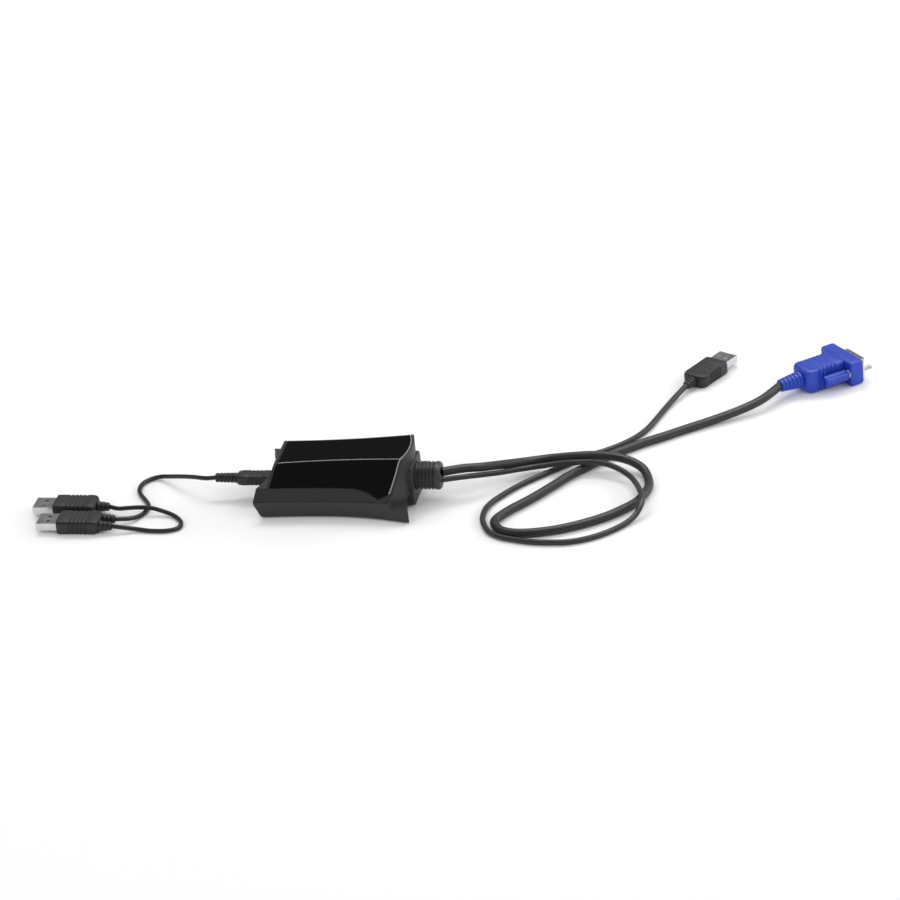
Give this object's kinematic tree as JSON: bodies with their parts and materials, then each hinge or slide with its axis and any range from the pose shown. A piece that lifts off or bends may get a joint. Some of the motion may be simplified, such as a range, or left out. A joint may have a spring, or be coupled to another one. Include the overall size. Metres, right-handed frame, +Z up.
{
  "type": "crash cart adapter",
  "caption": "Small waisted black box that links a laptop to a server's video and keyboard ports, with fixed video and USB cables and a plug-in laptop lead.",
  "frame": {"origin": "under the middle of the case, on the surface its feet stand on", "axes": "+X along the case towards the server cables, +Y to the back, +Z up"},
  "size_m": [0.4527, 0.2254, 0.032],
  "materials": {
    "case_plastic": "fine spark texture",
    "cover_gloss": "piano gloss",
    "foot_rubber": "matte",
    "screw_steel": "nickel plate",
    "board_green": "solder mask",
    "shell_steel": "nickel plate",
    "insert_black": "moulded",
    "contact_gold": "gold flash",
    "chip_black": "epoxy",
    "can_aluminium": "drawn",
    "header_ivory": "nylon",
    "wire_sleeve": "braided bundle",
    "relief_rubber": "matte",
    "cable_jacket": "satin",
    "video_blue": "moulded",
    "plug_black": "moulded",
    "tongue_white": "moulded"
  },
  "bodies": {
    "adapter": {"bottom_shell": "case_plastic", "top_shell": "case_plastic", "gloss_cover": "cover_gloss", "rubber_feet": "foot_rubber", "housing_screws": "screw_steel", "circuit_board": "board_green", "socket_shell": "shell_steel", "socket_insert": "insert_black", "socket_contacts": "contact_gold", "video_chip": "chip_black", "memory_chip": "chip_black", "usb_chip": "chip_black", "crystal_can": "shell_steel", "capacitors": "can_aluminium", "chip_resistors": "chip_black", "video_header": "header_ivory", "usb_header": "header_ivory", "video_header_plug": "header_ivory", "usb_header_plug": "header_ivory", "video_wires": "wire_sleeve", "usb_wires": "wire_sleeve", "strain_relief": "relief_rubber", "video_cable": "cable_jacket", "video_hood": "video_blue", "video_plug_shell": "shell_steel", "video_insulator": "video_blue", "video_pins": "contact_gold", "kvm_cable": "cable_jacket", "kvm_plug": "plug_black", "kvm_plug_shell": "shell_steel", "kvm_plug_tongue": "tongue_white", "kvm_plug_contacts": "contact_gold"},
    "laptop_lead": {"mini_plug": "plug_black", "mini_plug_shell": "shell_steel", "mini_plug_insert": "insert_black", "mini_plug_contacts": "contact_gold", "laptop_cord": "cable_jacket", "data_plug": "plug_black", "data_plug_shell": "shell_steel", "data_plug_tongue": "tongue_white", "data_plug_contacts": "contact_gold", "power_cord": "cable_jacket", "power_plug": "plug_black", "power_plug_shell": "shell_steel", "power_plug_tongue": "tongue_white", "power_plug_contacts": "contact_gold"},
    "left_retainer": {"left_retainer": "screw_steel"},
    "left_thumbscrew": {"left_jackscrew": "screw_steel", "left_thumb_knob": "video_blue"},
    "right_retainer": {"right_retainer": "screw_steel"},
    "right_thumbscrew": {"right_jackscrew": "screw_steel", "right_thumb_knob": "video_blue"}
  },
  "joints": [
    {"name": "lead_unplug", "type": "slide", "parent": "adapter", "child": "laptop_lead", "axis": [-1, 0, 0], "range_m": [0, 0.012]},
    {"name": "left_screw_slide", "type": "slide", "parent": "adapter", "child": "left_retainer", "axis": [0.766, 0.6428, 0], "range_m": [-0.003, 0]},
    {"name": "left_screw_spin", "type": "hinge", "parent": "left_retainer", "child": "left_thumbscrew", "pos_m": [0.25284, 0.15764, 0.0075], "axis": [0.766, 0.6428, 0], "continuous": true},
    {"name": "right_screw_slide", "type": "slide", "parent": "adapter", "child": "right_retainer", "axis": [0.766, 0.6428, 0], "range_m": [-0.003, 0]},
    {"name": "right_screw_spin", "type": "hinge", "parent": "right_retainer", "child": "right_thumbscrew", "pos_m": [0.26891, 0.13849, 0.0075], "axis": [0.766, 0.6428, 0], "continuous": true}
  ]
}
